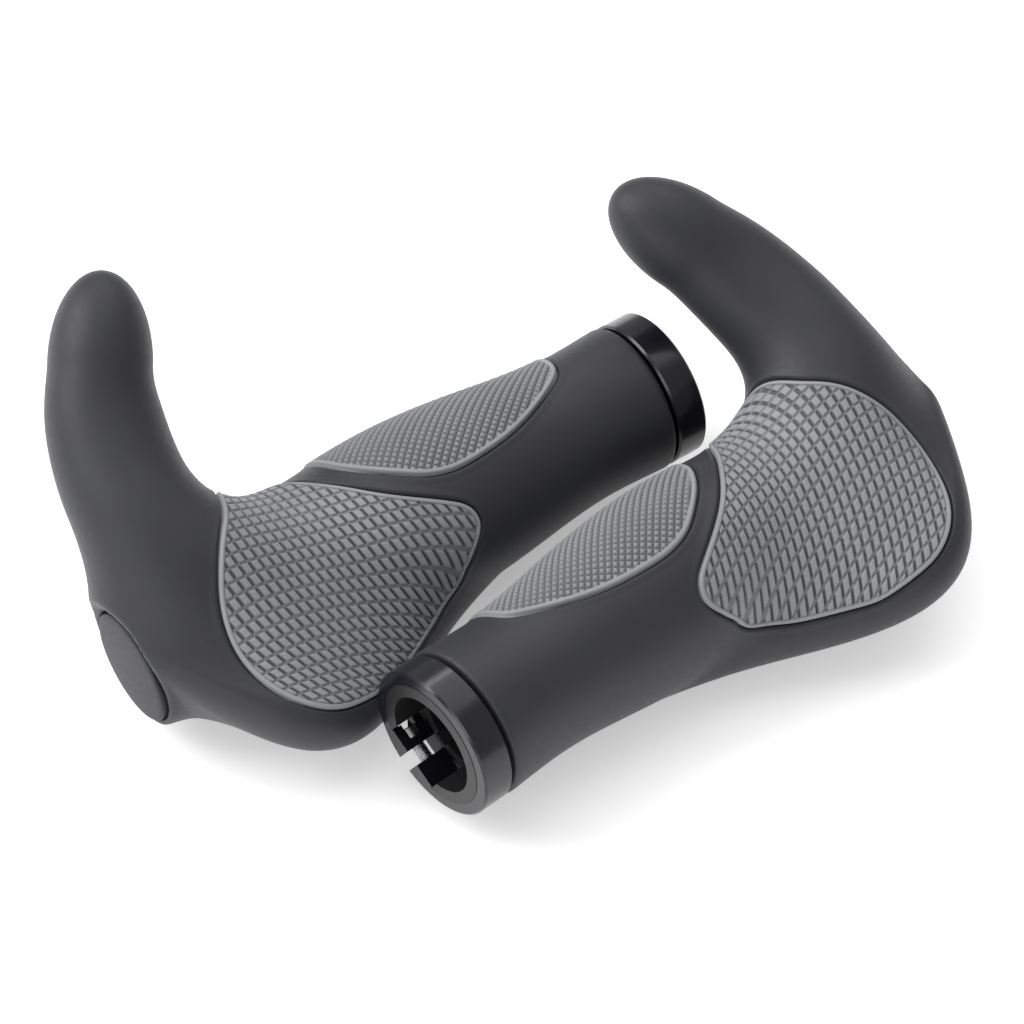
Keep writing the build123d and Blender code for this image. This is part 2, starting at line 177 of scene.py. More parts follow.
def horn_frame(p, rounds=3):
    d2 = ((p[:, None, :] - H_POINTS[None]) ** 2).sum(-1)
    t = H_SAMPLES[d2.argmin(1)]
    for _ in range(rounds):
        c, c1, c2 = spline_eval(S_HORN, t), spline_eval(S_HORN, t, 1), spline_eval(S_HORN, t, 2)
        q = p - c
        g = (q * c1).sum(1)
        n1 = (c1 * c1).sum(1)
        h = np.maximum(n1 - (q * c2).sum(1), 0.35 * n1)
        t = np.clip(t + np.clip(g / h, -0.06, 0.06), 0, 1)
    c, c1 = spline_eval(S_HORN, t), spline_eval(S_HORN, t, 1)
    tt = c1 / np.linalg.norm(c1, axis=1, keepdims=True)
    e1 = np.array([1.0, 0, 0]) - tt[:, :1] * tt
    e1 /= np.linalg.norm(e1, axis=1, keepdims=True)
    e2 = np.cross(tt, e1)
    q = p - c
    return t, (q * e1).sum(1), (q * e2).sum(1), (q * tt).sum(1)


def horn_field(p):
    t, q1, q2, q3 = horn_frame(p)
    a, b = spline_eval(S_HA, t), spline_eval(S_HB, t)
    n = np.sqrt(q1 * q1 + q2 * q2 + q3 * q3) + 1e-9
    rho = np.sqrt((q1 / a) ** 2 + (q2 / b) ** 2 + (q3 / HORN_TIP) ** 2) + 1e-9
    return n - n / rho


def rubber(p):
    """body and horn in one, with the collar of rubber round the plug's seat"""
    collar = soft_max(np.hypot(p[:, 1], p[:, 2]) - 13.75, np.abs(p[:, 0] - 126.0) - 10.4, 1.2)
    return soft_min(soft_min(body_field(p), horn_field(p), BLEND), collar, 2.4)


def form(p):
    """signed distance to the smooth rubber skin, with the recess round the end plug"""
    out = np.empty(len(p))
    for i in range(0, len(p), 60000):
        q = p[i:i + 60000]
        d = rubber(q)
        r = np.hypot(q[:, 1], q[:, 2])
        out[i:i + 60000] = soft_max(d, ((q[:, 0] - DISH_X) - 1.1 * np.maximum(r - DISH_R, 0)) * 0.8, 2.2)
    return out


def gradient(fn, p, e=0.02):
    g = np.stack([fn(p + np.eye(3)[i] * e) - fn(p - np.eye(3)[i] * e) for i in range(3)], 1) / (2 * e)
    return g


def cuts(p):
    """the flat inner lip, the bore for the core and the round seat for the plug"""
    x = p[:, 0]
    r = np.hypot(p[:, 1], p[:, 2])
    lip = LIP_X - x
    bore = np.minimum(SLEEVE_CUT - r, 0 * x + 999)
    bore = np.where(x < PLUG_FLOOR, SLEEVE_CUT - r, -999.0)
    seat = np.where(x >= PLUG_FLOOR - 0.001, PLUG_CUT - r, -999.0)
    return lip, np.maximum(bore, seat)


def thin(p):
    """positive where the wall round the plug would be thinner than half a millimetre"""
    r = np.hypot(p[:, 1], p[:, 2])
    out = np.full(len(p), -999.0)
    m = np.where((p[:, 0] > PLUG_FLOOR - 0.4) & (r > 10) & (r < 16.5))[0]
    if len(m):
        k = (PLUG_CUT + 0.5) / r[m]
        out[m] = rubber(np.c_[p[m, 0], p[m, 1] * k, p[m, 2] * k])
    return out


def skin(p):
    """the outside of the cover"""
    return np.maximum(soft_max(form(p), cuts(p)[0], 1.1), thin(p))


def cover_field(p):
    return np.maximum(skin(p), cuts(p)[1])


# ---------------- outlines of the two pads ----------------
PALM_LINE = closed_curve(PALM, 480)
n_mid = math.radians(FINGER_MID)


def finger_outline():
    pts = [(x, d) for x, d in FINGER]
    pts += [(x, 2 * FINGER_MID - d) for x, d in reversed(FINGER)]
    q = np.array(pts, float)
    r = spline_eval(S_TUBE, q[:, 0])
    return np.c_[q[:, 0], np.radians(q[:, 1] - FINGER_MID) * r]


FINGER_LINE = closed_curve(finger_outline(), 480)


def line_distance(q, line):
    """signed distance from 2-D points to a closed line, positive inside"""
    a = line
    b = np.roll(line, -1, axis=0)
    out = np.empty(len(q))
    for i in range(0, len(q), 4000):
        p = q[i:i + 4000][:, None, :]
        ab = (b - a)[None]
        t = np.clip(((p - a[None]) * ab).sum(-1) / (ab ** 2).sum(-1), 0, 1)
        d = np.sqrt((((a[None] + t[..., None] * ab) - p) ** 2).sum(-1)).min(1)
        x, y = p[..., 0], p[..., 1]
        crosses = ((a[None, :, 1] > y) != (b[None, :, 1] > y)) & (x < (b[None, :, 0] - a[None, :, 0]) * (y - a[None, :, 1]) / (b[None, :, 1] - a[None, :, 1] + 1e-12) + a[None, :, 0])
        out[i:i + 4000] = np.where(crosses.sum(1) % 2 == 1, d, -d)
    return out


# ---------------- surface look-ups ----------------
def make_palm_heights():
    xs, ys = np.arange(52, 130, 1.0), np.arange(-46, 30, 1.0)
    gx, gy = np.meshgrid(xs, ys, indexing="ij")
    z = np.full(gx.size, 34.0)
    for _ in range(60):
        d = form(np.stack([gx.ravel(), gy.ravel(), z], 1))
        z = np.maximum(z - np.clip(d, -1, 3) * 0.8, -12)
    return xs, ys, z.reshape(gx.shape)


def bilinear(table, u, v):
    i = np.clip(u.astype(int), 0, table.shape[0] - 2)
    j = np.clip(v.astype(int), 0, table.shape[1] - 2)
    a, b = np.clip(u - i, 0, 1), np.clip(v - j, 0, 1)
    return (table[i, j] * (1 - a) * (1 - b) + table[i + 1, j] * a * (1 - b) + table[i, j + 1] * (1 - a) * b + table[i + 1, j + 1] * a * b)


PX, PY, PZ = make_palm_heights()


def palm_point(q):
    """plan points (x, y) to points on the skin"""
    z = bilinear(PZ, q[:, 0] - PX[0], q[:, 1] - PY[0])
    p = np.c_[q, z]
    for _ in range(4):
        f = form(p)
        g = gradient(form, p)
        step = f / np.maximum((g ** 2).sum(1), 0.2)
        # move mostly straight up or down, so the plan stays, and sideways only where the skin is steep
        w = np.clip(np.abs(g[:, 2]) * 1.6, 0, 1)[:, None]
        vertical = np.zeros_like(p)
        vertical[:, 2] = np.clip(f / np.where(np.abs(g[:, 2]) < 0.25, 0.25, np.abs(g[:, 2])), -1.5, 1.5)
        p = p - (w * vertical + (1 - w) * step[:, None] * g)
    g = gradient(form, p)
    return p, g / np.linalg.norm(g, axis=1, keepdims=True)


def finger_point(q):
    """(x, distance round the bar from the pad's middle) to points on the skin"""
    x = q[:, 0]
    ang = q[:, 1] / spline_eval(S_TUBE, x) + n_mid
    r = spline_eval(S_TUBE, x).copy()
    s, c = np.sin(ang), np.cos(ang)
    for _ in range(14):
        f = form(np.c_[x, r * s, r * c])
        r = r - 0.85 * f
    p = np.c_[x, r * s, r * c]
    g = gradient(form, p)
    return p, g / np.linalg.norm(g, axis=1, keepdims=True)


# ---------------- cover mesh ----------------
def cover_mesh(voxel=0.72):
    lo = np.array([4.0, -44.0, -25.0])
    hi = np.array([146.0, 64.0, 57.0])
    step = 4
    n = (np.ceil((hi - lo) / (voxel * step)).astype(int)) * step + 1
    coarse = [lo[i] + voxel * step * np.arange((n[i] - 1) // step + 1) for i in range(3)]
    cg = np.stack(np.meshgrid(*coarse, indexing="ij"), -1).reshape(-1, 3)
    cf = cover_field(cg).reshape([len(c) for c in coarse])
    full = np.empty(tuple(n), np.float32)
    # fill every fine voxel from the coarse value, then work out those near the skin
    idx = [np.minimum(np.round(np.arange(n[i]) / step).astype(int), cf.shape[i] - 1) for i in range(3)]
    full[:] = cf[np.ix_(*idx)]
    near = np.argwhere(np.abs(full) < voxel * step * 1.5)
    pts = lo + near * voxel
    full[near[:, 0], near[:, 1], near[:, 2]] = cover_field(pts)
    grid = openvdb.FloatGrid(background=3.0)
    grid.copyFromArray(full)
    points, tris, quads = grid.convertToPolygons(isovalue=0.0, adaptivity=0.0)
    return points.astype(float) * voxel + lo, np.asarray(tris), np.asarray(quads)


def snap(points):
    """bring the mesh exactly on to the form, with its cut edges sharp"""
    p = points.copy()
    for _ in range(3):
        bore = cuts(p)[1]
        smooth = skin(p)
        on_skin = np.abs(smooth) < 1.2
        on_bore = np.abs(bore) < 0.75
        sk = on_skin & ~(on_bore & (bore > smooth))
        idx = np.where(sk)[0]
        q = p[idx]
        g = gradient(skin, q)
        step = skin(q) / np.maximum((g ** 2).sum(1), 0.25)
        p[idx] = q - np.clip(step, -0.6, 0.6)[:, None] * g
    r = np.hypot(p[:, 1], p[:, 2])
    x = p[:, 0]
    for radius, lo, hi in ((SLEEVE_CUT, LIP_X - 1, PLUG_FLOOR), (PLUG_CUT, PLUG_FLOOR, 150)):
        m = (np.abs(r - radius) < 0.55) & (x >= lo) & (x < hi)
        k = radius / r[m]
        p[m, 1] *= k
        p[m, 2] *= k
    return p


def outline_push(p, normal, palm_rim, finger_rim):
    """how far the cover is let down round and under each pad"""
    down = np.zeros(len(p))
    r = np.hypot(p[:, 1], p[:, 2])
    m = (p[:, 0] > 52) & (p[:, 0] < 130) & (p[:, 2] > -13) & (normal[:, 2] > -0.5) & (r > 14)
    idx = np.where(m)[0]
    d = rim_distance(p[idx], palm_rim)
    z = bilinear(PZ, p[idx, 0] - PX[0], p[idx, 1] - PY[0])
    inside = (line_distance(p[idx, :2], PALM_LINE) > 0) & (np.abs(z - p[idx, 2]) < 5.0)
    down[idx] = np.where(inside | (d < 1.0), 1.15, 0.0)
    ang = np.arctan2(p[:, 1], p[:, 2])
    m = (p[:, 0] > 18) & (p[:, 0] < 88) & (np.abs(ang - n_mid) < math.radians(88)) & (r > 14.3) & (r < 26)
    idx = np.where(m)[0]
    q = np.c_[p[idx, 0], (ang[idx] - n_mid) * spline_eval(S_TUBE, p[idx, 0])]
    d = rim_distance(p[idx], finger_rim)
    inside = line_distance(q, FINGER_LINE) > 0
    down[idx] = np.maximum(down[idx], np.where(inside | (d < 1.0), 1.15, 0.0))
    return down


def on_form(p, rounds=4):
    for _ in range(rounds):
        f = form(p)
        g = gradient(form, p)
        p = p - (f / np.maximum((g ** 2).sum(1), 0.3))[:, None] * g
    g = gradient(form, p)
    return p, g / np.linalg.norm(g, axis=1, keepdims=True)


def rim_of(line, to_skin):
    """the outline on the skin, with the skin's normal and the way out across the outline"""
    p, n = to_skin(line)
    p, n = on_form(p, 3)
    area = 0.5 * np.sum(line[:, 0] * np.roll(line[:, 1], -1) - np.roll(line[:, 0], -1) * line[:, 1])
    t2 = np.roll(line, -1, axis=0) - np.roll(line, 1, axis=0)
    t2 /= np.linalg.norm(t2, axis=1, keepdims=True)
    out2 = np.c_[t2[:, 1], -t2[:, 0]] * (1 if area > 0 else -1)
    near, _ = to_skin(line - out2 * 0.4)
    t = np.roll(p, -2, axis=0) - np.roll(p, 2, axis=0)
    t /= np.linalg.norm(t, axis=1, keepdims=True)
    side = np.cross(t, n)
    side /= np.linalg.norm(side, axis=1, keepdims=True)
    if np.sum((side * (p - near)).sum(1) > 0) < len(p) / 2:
        side = -side
    return p, n, side


def rim_distance(p, rim, most=3.5):
    """distance from points to the outline on the skin; the argument most is not used"""
    a, b = rim, np.roll(rim, -1, axis=0)
    ab = b - a
    ll = (ab ** 2).sum(1)
    out = np.empty(len(p))
    for i in range(0, len(p), 3000):
        q = p[i:i + 3000][:, None, :]
        t = np.clip(((q - a[None]) * ab[None]).sum(-1) / ll[None], 0, 1)
        out[i:i + 3000] = np.sqrt((((a[None] + t[..., None] * ab[None]) - q) ** 2).sum(-1).min(1))
    return out


def ribbon(rim, inward=1.25, outward=2.8):
    """the cover's moulded edge round a pad: a lip that rolls down into a narrow groove"""
    p0, n0, side = rim
    s = np.r_[np.linspace(-inward, 0.16, 5), np.linspace(0.22, 1.05, 8), np.linspace(1.35, outward, 6)]
    rows = []
    for v in s:
        p, g = on_form(p0 + side * v)
        if v <= 0.17:
            h = -0.95
        elif v < 1.06:
            # quarter-round edge from the groove's floor up to a slight bead
            h = -0.95 + 1.07 * math.sqrt(max(0.0, 1 - (1 - (v - 0.16) / 0.89) ** 2))
        else:
            w = (v - 1.05) / (outward - 1.05)
            h = 0.12 * (1 - w) ** 1.5 - 0.03 * w
        rows.append(p + g * h)
    return np.array(rows)


# ---------------- pads ----------------
def square_to_line(n, line, centre):
    """grid of n x n plan points that fills the outline, with its edge on the line"""
    a, b = np.meshgrid(np.linspace(-1, 1, n), np.linspace(-1, 1, n), indexing="ij")
    u, v = a * np.sqrt(1 - b * b / 2), b * np.sqrt(1 - a * a / 2)
    rho, phi = np.hypot(u, v), np.arctan2(v, u)
    d = line - centre
    ang = np.arctan2(d[:, 1], d[:, 0])
    rad = np.hypot(d[:, 0], d[:, 1])
    order = np.argsort(ang)
    aa = np.r_[ang[order][-3:] - 2 * np.pi, ang[order], ang[order][:3] + 2 * np.pi]
    rr = np.r_[rad[order][-3:], rad[order], rad[order][:3]]
    reach = np.interp(phi.ravel(), aa, rr).reshape(n, n)
    # stretch factors, so that the middle isn't crowded
    return np.stack([centre[0] + rho * reach * np.cos(phi), centre[1] + rho * reach * np.sin(phi)], -1).reshape(-1, 2)


def smooth(t):
    t = np.clip(t, 0, 1)
    return t * t * (3 - 2 * t)


def edge_profile(d, top, width=0.55, foot=-0.85):
    t = np.clip(d / width, 0, 1)
    return foot + (top - foot) * np.sqrt(np.clip(1 - (1 - t) ** 2, 0, 1))


def palm_height(q, d):
    u, v = (q[:, 0] - 92) / 30, (q[:, 1] + 10) / 30
    vp = np.maximum(v + 0.1, 0)
    pa = 12.15 * v - 1.1 * v * v - 1.95 * u + 1.1 * u * u + 7.5 * u * u * vp * vp
    pb = (-3.314 * v + 3.357 * v * v - 0.371 * v ** 3 + 13.693 * u + 0.818 * u * v - 0.726 * u * v * v
          - 0.584 * u * u - 0.888 * u * u * v + 0.13 * u ** 3)
    fa, fb = pa - np.floor(pa), pb - np.floor(pb)
    da, db = np.minimum(fa, 1 - fa) * 2.45, np.minimum(fb, 1 - fb) * 2.1
    field = np.clip((d - 0.98) / 0.28, 0, 1)
    # wide shallow lanes one way, short deep cuts between them the other way
    row = smooth((da - 0.19) / 0.22)
    side = np.where(fb < 0.5, fb * 2.1, (1 - fb) * 2.1)
    col = smooth((side - np.where(fb < 0.5, 0.28, 0.15)) / 0.21)
    tile = 0.17 + 0.30 * row * col - 0.22 * row * (1 - col) + 0.05 * (0.5 - fb) * row * col
    rim = 0.40 + 0.16 * np.exp(-((d - 0.58) / 0.34) ** 2)
    inner = rim * (1 - field) + tile * field
    channel = 0.16 * np.exp(-((d - 1.12) / 0.15) ** 2)
    # painted shade mask: how far the pad colour is darkened in the lanes, the short cuts and the channel round the
    # rim
    painted_groove_shade = np.maximum(np.maximum(0.34 * (1 - row), 0.88 * row * (1 - col)) * field, 0.30 * np.exp(-((d - 1.12) / 0.16) ** 2))
    return np.minimum(edge_profile(d, 0.50, 0.45), inner - channel + 0.02), np.maximum(painted_groove_shade, 0.03 * field)


def finger_height(q, d):
    pa = 0.478 * q[:, 0] + 0.485 * q[:, 1]
    pb = 0.478 * q[:, 0] - 0.485 * q[:, 1]
    wa = 1 - np.abs(2 * (pa - np.floor(pa)) - 1)
    wb = 1 - np.abs(2 * (pb - np.floor(pb)) - 1)
    low = np.minimum(wa, wb)
    stud = 0.02 + 0.56 * np.minimum(np.clip((low - 0.12) / 0.62, 0, 1), 1.0) ** 0.75
    field = np.clip((d - 1.05) / 0.3, 0, 1)
    rim = 0.50 + 0.14 * np.exp(-((d - 0.65) / 0.36) ** 2)
    inner = rim * (1 - field) + stud * field
    # painted shade mask: how far the pad colour is darkened between the studs
    painted_groove_shade = field * np.maximum(0.09, 0.85 * np.clip(1 - low / 0.42, 0, 1))
    return np.minimum(edge_profile(d, 0.60, 0.5), inner + 0.02), painted_groove_shade


def pad_mesh(n, line, centre, to_skin, height, rim):
    q = square_to_line(n, line, np.array(centre, float))
    p, g = to_skin(q)
    p, g = on_form(p, 1)
    d = rim_distance(p, rim)
    d.reshape(n, n)[[0, -1], :] = 0.0
    d.reshape(n, n)[:, [0, -1]] = 0.0
    h, painted_groove_shade = height(q, d)
    top = p + g * h[:, None]
    i = np.arange(n * n).reshape(n, n)
    quads = np.stack([i[:-1, :-1], i[1:, :-1], i[1:, 1:], i[:-1, 1:]], -1).reshape(-1, 4)
    # close the pad underneath with a skirt and a coarse floor
    ring = np.r_[i[0, :], i[1:, -1], i[-1, -2::-1], i[-2:0:-1, 0]]
    foot = p[ring] - g[ring] * 1.35
    base = n * n
    k = np.arange(len(ring))
    k2 = (k + 1) % len(ring)
    skirt = np.stack([ring[k2], ring[k], base + k, base + k2], -1)
    mid = len(top) + len(foot)
    centre_point = foot.mean(0)
    inner = centre_point + (foot - centre_point) * 0.5
    verts = np.vstack([top, foot, inner, centre_point[None]])
    floor1 = np.stack([base + k2, base + k, mid + k, mid + k2], -1)
    tip = mid + len(ring)
    tris = np.stack([mid + k2, mid + k, np.full(len(k), tip)], -1)
    # painted shade per vertex; the skirt and floor underneath take the darkest shade
    shade = np.r_[painted_groove_shade, np.ones(len(verts) - len(painted_groove_shade))]
    return verts, tris, np.vstack([quads, skirt, floor1]), shade


def to_object(name, parts, side, body, material, sharp=None):
    """parts: list of (verts mm in the grip frame, tris, quads), with the painted groove shade per vertex as an
    optional fourth
    """
    verts, tris, quads, base = [], [], [], 0
    for v, t, q in (part[:3] for part in parts):
        verts.append(v)
        if len(t):
            tris.append(np.asarray(t) + base)
        if len(q):
            quads.append(np.asarray(q) + base)
        base += len(v)
    verts = np.vstack(verts)
    tris = np.vstack(tris) if tris else np.zeros((0, 3), int)
    quads = np.vstack(quads) if quads else np.zeros((0, 4), int)
    m, t = matrix_of(side)
    world = (verts @ m.T + t) / 1000.0
    if PLACES[side][2]:
        tris, quads = tris[:, ::-1], quads[:, ::-1]
    me = bpy.data.meshes.new(name)
    me.vertices.add(len(world))
    me.vertices.foreach_set("co", world.astype(np.float32).ravel())
    loops = np.r_[quads.ravel(), tris.ravel()]
    me.loops.add(len(loops))
    me.loops.foreach_set("vertex_index", loops.astype(np.int32))
    starts = np.r_[np.arange(len(quads)) * 4, len(quads) * 4 + np.arange(len(tris)) * 3]
    me.polygons.add(len(starts))
    me.polygons.foreach_set("loop_start", starts.astype(np.int32))
    me.polygons.foreach_set("use_smooth", np.ones(len(starts), bool))
    me.update(calc_edges=True)
    me.validate()
    # the pads' painted groove shade goes to the material as a point attribute
    if len(parts[0]) > 3:
        at = me.attributes.new("painted_groove_shade", "FLOAT", "POINT")
        at.data.foreach_set("value", np.concatenate([part[3] for part in parts]).astype(np.float32))
    ob = bpy.data.objects.new(name, me)
    bpy.context.scene.collection.objects.link(ob)
    ob.data.materials.append(material)
    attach(ob, body)
    return ob


# ---------------------------------------------------------------------------
# materials
# ---------------------------------------------------------------------------
def nodes_of(name):
    mat = bpy.data.materials.new(name)
    mat.use_nodes = True
    nt = mat.node_tree
    bsdf = nt.nodes["Principled BSDF"]
    return mat, nt, bsdf


def noise(nt, scale, detail=4.0, rough=0.55, coord=None):
    n = nt.nodes.new("ShaderNodeTexNoise")
    n.inputs["Scale"].default_value = scale
    n.inputs["Detail"].default_value = detail
    n.inputs["Roughness"].default_value = rough
    if coord is not None:
        nt.links.new(coord, n.inputs["Vector"])
    return n


def ramp(nt, source, stops):
    r = nt.nodes.new("ShaderNodeValToRGB")
    el = r.color_ramp.elements
    el[0].position, el[0].color = stops[0][0], (*stops[0][1], 1)
    el[1].position, el[1].color = stops[-1][0], (*stops[-1][1], 1)
    for pos, col in stops[1:-1]:
        e = el.new(pos)
        e.color = (*col, 1)
    nt.links.new(source, r.inputs["Fac"])
    return r


def map_range(nt, source, a, b, c, d):
    m = nt.nodes.new("ShaderNodeMapRange")
    m.inputs["From Min"].default_value = a
    m.inputs["From Max"].default_value = b
    m.inputs["To Min"].default_value = c
    m.inputs["To Max"].default_value = d
    nt.links.new(source, m.inputs["Value"])
    return m


def bump(nt, source, strength, distance, chain=None):
    b = nt.nodes.new("ShaderNodeBump")
    b.inputs["Strength"].default_value = strength
    b.inputs["Distance"].default_value = distance
    nt.links.new(source, b.inputs["Height"])
    if chain is not None:
        nt.links.new(chain, b.inputs["Normal"])
    return b


def object_coord(nt):
    return nt.nodes.new("ShaderNodeTexCoord").outputs["Object"]


def rubber_material():
    mat, nt, b = nodes_of("soft_black_rubber")
    co = object_coord(nt)
    big = noise(nt, 28, 3, 0.5, co)
    fine = noise(nt, 900, 3, 0.6, co)
    grain = noise(nt, 3800, 2, 0.6, co)
    col = ramp(nt, big.outputs["Fac"], [(0.25, (0.0205, 0.0209, 0.0252)), (0.75, (0.0285, 0.0290, 0.0346))])
    mix = nt.nodes.new("ShaderNodeMixRGB")
    mix.blend_type = "MULTIPLY"
    mix.inputs["Fac"].default_value = 0.25
    spec = ramp(nt, fine.outputs["Fac"], [(0.3, (0.75, 0.75, 0.76)), (0.7, (1, 1, 1))])
    nt.links.new(col.outputs["Color"], mix.inputs["Color1"])
    nt.links.new(spec.outputs["Color"], mix.inputs["Color2"])
    nt.links.new(mix.outputs["Color"], b.inputs["Base Color"])
    rr = map_range(nt, fine.outputs["Fac"], 0.3, 0.7, 0.47, 0.58)
    nt.links.new(rr.outputs["Result"], b.inputs["Roughness"])
    b1 = bump(nt, grain.outputs["Fac"], 0.12, 0.00012)
    b2 = bump(nt, fine.outputs["Fac"], 0.06, 0.0004, b1.outputs["Normal"])
    nt.links.new(b2.outputs["Normal"], b.inputs["Normal"])
    b.inputs["Specular IOR Level"].default_value = 0.40
    b.inputs["Sheen Weight"].default_value = 0.06
    b.inputs["Sheen Roughness"].default_value = 0.45
    b.inputs["Sheen Tint"].default_value = (0.75, 0.78, 0.85, 1)
    return mat


def pad_material():
    mat, nt, b = nodes_of("grey_pad_rubber")
    co = object_coord(nt)
    big = noise(nt, 60, 3, 0.5, co)
    fine = noise(nt, 1600, 3, 0.6, co)
    col = ramp(nt, big.outputs["Fac"], [(0.25, (0.235, 0.241, 0.253)), (0.75, (0.276, 0.283, 0.296))])
    # painted shade in the grooves: the pad colour is darkened where the surface is hollow, down to about a quarter in
    # the deepest cuts
    att = nt.nodes.new("ShaderNodeAttribute")
    att.attribute_name = "painted_groove_shade"
    painted_groove_shade = ramp(nt, att.outputs["Fac"], [(0.0, (1.0, 1.0, 1.0)), (0.06, (0.90, 0.90, 0.90)), (0.35, (0.58, 0.58, 0.59)), (0.95, (0.27, 0.27, 0.28))])
    mix = nt.nodes.new("ShaderNodeMixRGB")
    mix.blend_type = "MULTIPLY"
    mix.inputs["Fac"].default_value = 1.0
    nt.links.new(col.outputs["Color"], mix.inputs["Color1"])
    nt.links.new(painted_groove_shade.outputs["Color"], mix.inputs["Color2"])
    nt.links.new(mix.outputs["Color"], b.inputs["Base Color"])
    rr = map_range(nt, fine.outputs["Fac"], 0.3, 0.7, 0.50, 0.64)
    nt.links.new(rr.outputs["Result"], b.inputs["Roughness"])
    b1 = bump(nt, fine.outputs["Fac"], 0.10, 0.0002)
    nt.links.new(b1.outputs["Normal"], b.inputs["Normal"])
    b.inputs["Specular IOR Level"].default_value = 0.40
    return mat


def anodised_material():
    mat, nt, b = nodes_of("black_anodised")
    co = object_coord(nt)
    n1 = noise(nt, 700, 3, 0.5, co)
    n2 = noise(nt, 45, 2, 0.5, co)
    col = ramp(nt, n2.outputs["Fac"], [(0.3, (0.0060, 0.0062, 0.0098)), (0.7, (0.0088, 0.0090, 0.0140))])
    nt.links.new(col.outputs["Color"], b.inputs["Base Color"])
    rr = map_range(nt, n1.outputs["Fac"], 0.3, 0.7, 0.17, 0.24)
    nt.links.new(rr.outputs["Result"], b.inputs["Roughness"])
    b1 = bump(nt, n2.outputs["Fac"], 0.02, 0.0001)
    nt.links.new(b1.outputs["Normal"], b.inputs["Normal"])
    b.inputs["Specular IOR Level"].default_value = 0.5
    return mat


def nylon_material(name, low, high, rough, spec=0.45):
    mat, nt, b = nodes_of(name)
    co = object_coord(nt)
    n1 = noise(nt, 1500, 3, 0.55, co)
    n2 = noise(nt, 50, 3, 0.5, co)
    col = ramp(nt, n2.outputs["Fac"], [(0.3, low), (0.7, high)])
    nt.links.new(col.outputs["Color"], b.inputs["Base Color"])
    rr = map_range(nt, n1.outputs["Fac"], 0.3, 0.7, rough - 0.05, rough + 0.05)
    nt.links.new(rr.outputs["Result"], b.inputs["Roughness"])
    b1 = bump(nt, n1.outputs["Fac"], 0.10, 0.0002)
    nt.links.new(b1.outputs["Normal"], b.inputs["Normal"])
    b.inputs["Specular IOR Level"].default_value = spec
    return mat


def steel_material():
    mat, nt, b = nodes_of("zinc_steel")
    co = object_coord(nt)
    n1 = noise(nt, 2500, 3, 0.6, co)
    col = ramp(nt, n1.outputs["Fac"], [(0.3, (0.50, 0.50, 0.51)), (0.7, (0.68, 0.68, 0.68))])
    nt.links.new(col.outputs["Color"], b.inputs["Base Color"])
    rr = map_range(nt, n1.outputs["Fac"], 0.3, 0.7, 0.24, 0.36)
    nt.links.new(rr.outputs["Result"], b.inputs["Roughness"])
    b1 = bump(nt, n1.outputs["Fac"], 0.08, 0.0001)
    nt.links.new(b1.outputs["Normal"], b.inputs["Normal"])
    b.inputs["Metallic"].default_value = 1.0
    return mat


RUBBER = rubber_material()
PAD = pad_material()
ANOD = anodised_material()
CORE = nylon_material("black_nylon", (0.008, 0.008, 0.009), (0.013, 0.013, 0.0145), 0.42)
PLUG = nylon_material("grey_nylon", (0.0115, 0.0118, 0.0155), (0.0165, 0.0169, 0.0218), 0.50, 0.28)
STEEL = steel_material()

# ---------------------------------------------------------------------------
# geometry, built once in the grip frame and used for both hands
# ---------------------------------------------------------------------------
pts, tris, quads = cover_mesh(0.72)
pts = snap(pts)
g = gradient(form, pts)
g /= np.maximum(np.linalg.norm(g, axis=1, keepdims=True), 1e-6)
PALM_RIM, FINGER_RIM = rim_of(PALM_LINE, palm_point), rim_of(FINGER_LINE, finger_point)
down = outline_push(pts, g, PALM_RIM[0], FINGER_RIM[0])
pts = pts - g * down[:, None]
cover_parts = [(pts, tris, quads)]
for rim in (PALM_RIM, FINGER_RIM):
    rows = ribbon(rim)
    k, n = rows.shape[:2]
    i = np.arange(k * n).reshape(k, n)
    q = np.stack([i[:-1, :], i[1:, :], np.roll(i, -1, 1)[1:, :], np.roll(i, -1, 1)[:-1, :]], -1).reshape(-1, 4)
    # face outwards
    v = rows.reshape(-1, 3)
    a, b_, c_ = v[q[:, 0]], v[q[:, 1]], v[q[:, 3]]
    nrm = np.cross(b_ - a, c_ - a)
    want = gradient(form, a)
    if np.sum(np.sum(nrm * want, 1) > 0) < len(q) / 2:
        q = q[:, ::-1]
    cover_parts.append((v, np.zeros((0, 3), int), q))


def outward(mesh, fn=form):
    v, t, q = mesh[:3]
    k = q[: len(q) // 2: 37]
    a, b_, c_ = v[k[:, 0]], v[k[:, 1]], v[k[:, 3]]
    nrm = np.cross(b_ - a, c_ - a)
    if np.sum(np.sum(nrm * gradient(fn, a), 1) > 0) < len(k) / 2:
        return (v, t[:, ::-1], q[:, ::-1]) + tuple(mesh[3:])
    return mesh


cover_parts[0] = outward(cover_parts[0], cover_field)
N = 310
palm = outward(pad_mesh(N, PALM_LINE, (89.5, -8.5), palm_point, palm_height, PALM_RIM[0]))
finger = outward(pad_mesh(N, FINGER_LINE, (54.0, 0.0), finger_point, finger_height, FINGER_RIM[0]))

for side in ("left", "right"):
    body = f"{side}_grip"
    cover = to_object(f"{side}_cover_skin", cover_parts, side, body, RUBBER)
    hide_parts(f"{side}_rubber_cover")
    p1 = to_object(f"{side}_palm_tiles", [palm], side, body, PAD)
    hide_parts(f"{side}_palm_pad")
    p2 = to_object(f"{side}_finger_ribs", [finger], side, body, PAD)
    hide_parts(f"{side}_finger_pad")
    for node, mat in (("clamp_collar", ANOD), ("clamp_bolt", STEEL), ("grip_core", CORE), ("end_plug", PLUG)):
        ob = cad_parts[f"{side}_{node}"]
        ob.data.materials.clear()
        ob.data.materials.append(mat)

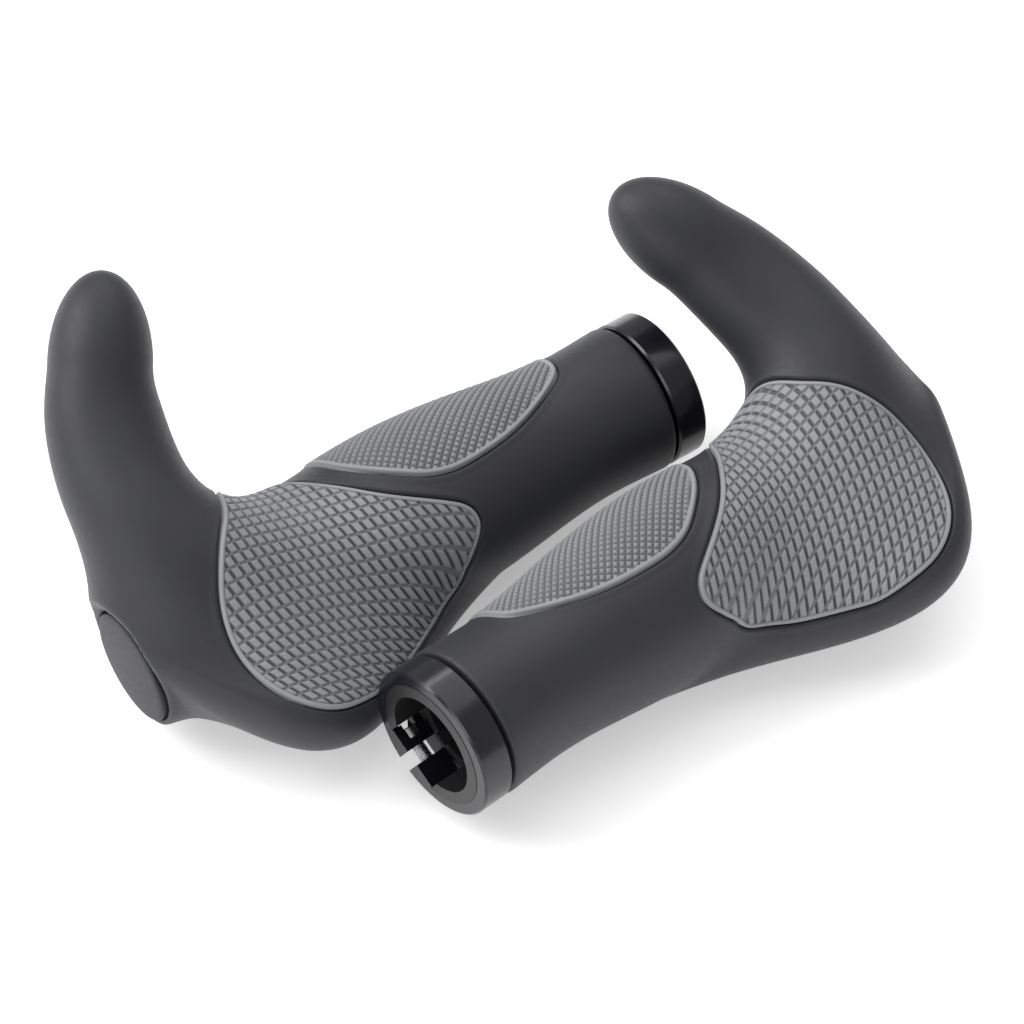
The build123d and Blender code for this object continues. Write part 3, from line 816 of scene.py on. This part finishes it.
# ---------------------------------------------------------------------------
# floor, light and camera
# ---------------------------------------------------------------------------
floor_mesh = bpy.data.meshes.new("floor")
s = 3.0
floor_mesh.from_pydata([(-s, -s, 0), (s, -s, 0), (s, s, 0), (-s, s, 0)], [], [(0, 1, 2, 3)])
floor = bpy.data.objects.new("floor", floor_mesh)
bpy.context.scene.collection.objects.link(floor)
floor.location = (0, 0, -0.00005)
fmat, fnt, fb = nodes_of("white_floor")
fb.inputs["Base Color"].default_value = (0.93, 0.93, 0.93, 1)
fb.inputs["Roughness"].default_value = 0.9
fb.inputs["Specular IOR Level"].default_value = 0.1
fb.inputs["Emission Color"].default_value = (1, 1, 1, 1)
fb.inputs["Emission Strength"].default_value = 0.37
floor_mesh.materials.append(fmat)

world = bpy.data.worlds.new("studio")
bpy.context.scene.world = world
world.use_nodes = True
world.node_tree.nodes["Background"].inputs["Color"].default_value = (1, 1, 1, 1)
world.node_tree.nodes["Background"].inputs["Strength"].default_value = 0.47


def area(name, loc, target, size, power, size_y=None, color=(1, 1, 1)):
    d = bpy.data.lights.new(name, "AREA")
    d.energy = power
    d.color = color
    d.shape = "RECTANGLE"
    d.size = size
    d.size_y = size_y or size
    o = bpy.data.objects.new(name, d)
    bpy.context.scene.collection.objects.link(o)
    o.location = loc
    o.rotation_euler = (Vector(target) - Vector(loc)).to_track_quat("-Z", "Y").to_euler()
    return o


area("key", (-0.95, 0.10, 0.80), (0, 0, 0.03), 0.8, 11.5)
area("top", (-0.10, 0.38, 1.25), (0, 0, 0.03), 1.5, 8.0)
area("front", (-0.50, -0.85, 0.40), (0, 0, 0.03), 0.8, 2.2, 0.35)
area("back_strip", (0.25, 0.75, 0.80), (0, 0, 0.03), 1.1, 1.6, 0.07)

E, DIST, FOCAL = math.radians(48.5), 0.83979, 3815.2
shift = Vector((ROW_SHIFT[0] / 1000, ROW_SHIFT[1] / 1000, 0))
cam_data = bpy.data.cameras.new("camera")
cam_data.sensor_width = 36.0
cam_data.lens = FOCAL * 36.0 / 1024.0
cam_data.clip_start = 0.01
cam_data.clip_end = 20
cam = bpy.data.objects.new("camera", cam_data)
bpy.context.scene.collection.objects.link(cam)
cam.location = shift + Vector((0, -DIST * math.cos(E), DIST * math.sin(E)))
cam.rotation_euler = (math.pi / 2 - E, 0, 0)
bpy.context.scene.camera = cam
bpy.context.scene.view_settings.view_transform = "Standard"
bpy.context.scene.view_settings.look = "None"
